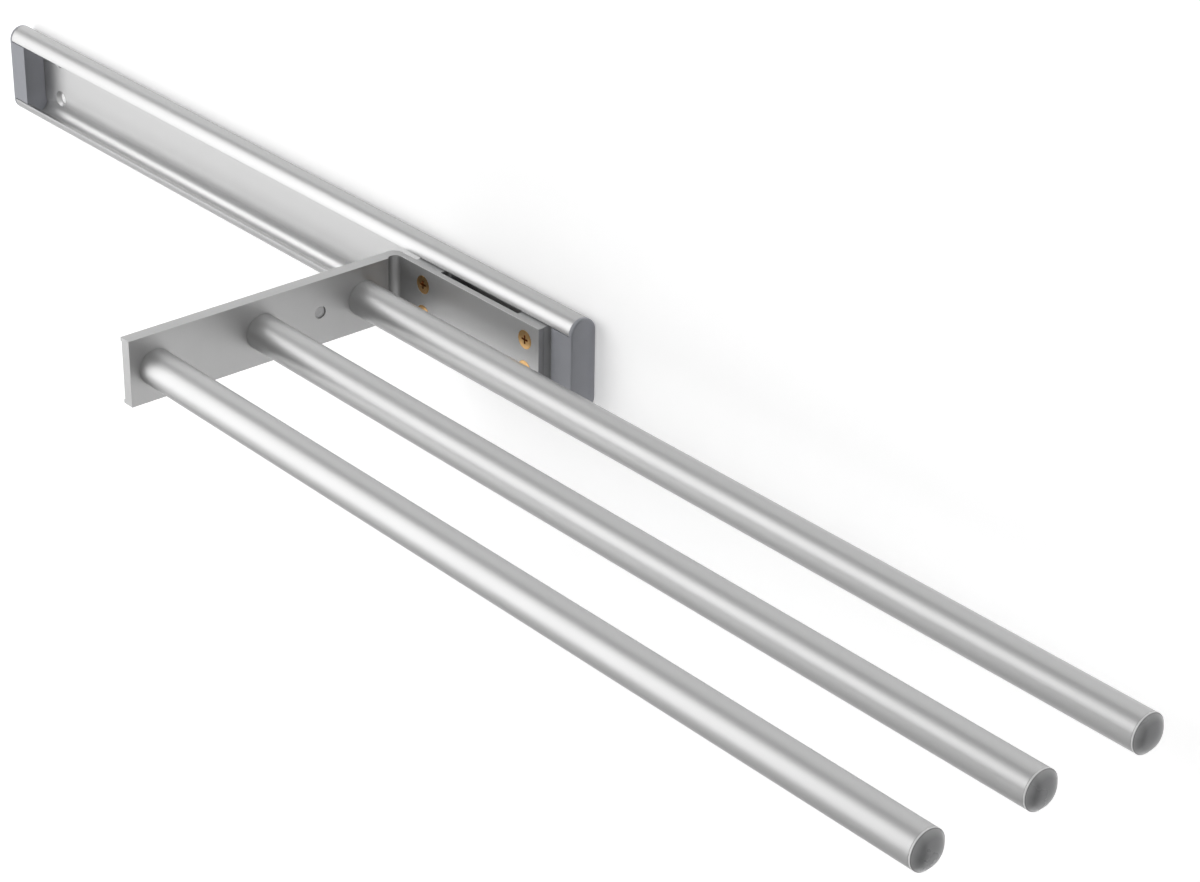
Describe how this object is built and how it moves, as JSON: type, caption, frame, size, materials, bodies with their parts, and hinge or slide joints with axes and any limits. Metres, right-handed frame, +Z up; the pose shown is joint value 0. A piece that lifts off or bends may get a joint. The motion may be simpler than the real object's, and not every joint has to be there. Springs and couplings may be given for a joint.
{
  "type": "pull-out towel rack",
  "caption": "Wall rail with a sliding L bracket that carries parallel round towel bars and pulls out along the rail.",
  "frame": {"origin": "centre of the rail's back face, on the wall", "axes": "+X along the rail towards the bar tips, the way the carriage pulls out; +Y into the wall; +Z up"},
  "size_m": [0.7731, 0.1555, 0.044],
  "materials": {
    "rail_aluminium": "satin anodised, drawn along its length",
    "bracket_aluminium": "satin anodised, lightly brushed",
    "bar_aluminium": "satin anodised tube",
    "cap_plastic": "moulded blue-grey plastic, fine texture",
    "tip_plastic": "moulded grey plastic, satin gloss",
    "slide_plastic": "moulded sliding plastic",
    "buffer_plastic": "soft grey plastic",
    "brass_screw": "yellow zinc plated, glossy",
    "steel": "zinc plated steel"
  },
  "bodies": {
    "rail": {"wall_rail": "rail_aluminium", "rear_end_cap": "cap_plastic", "front_end_cap": "cap_plastic"},
    "carriage": {"bracket": "bracket_aluminium", "rear_slide_block": "slide_plastic", "front_slide_block": "slide_plastic", "rear_nut_plate": "steel", "front_nut_plate": "steel", "carriage_screws": "brass_screw", "inner_bar": "bar_aluminium", "middle_bar": "bar_aluminium", "outer_bar": "bar_aluminium", "inner_bar_insert": "steel", "middle_bar_insert": "steel", "outer_bar_insert": "steel", "inner_bar_screw": "steel", "middle_bar_screw": "steel", "outer_bar_screw": "steel", "inner_tip_plug": "tip_plastic", "middle_tip_plug": "tip_plastic", "outer_tip_plug": "tip_plastic", "arm_buffer": "buffer_plastic"}
  },
  "joints": [
    {"name": "carriage_slide", "type": "slide", "parent": "rail", "child": "carriage", "axis": [1, 0, 0], "range_m": [-0.322, 0]}
  ]
}
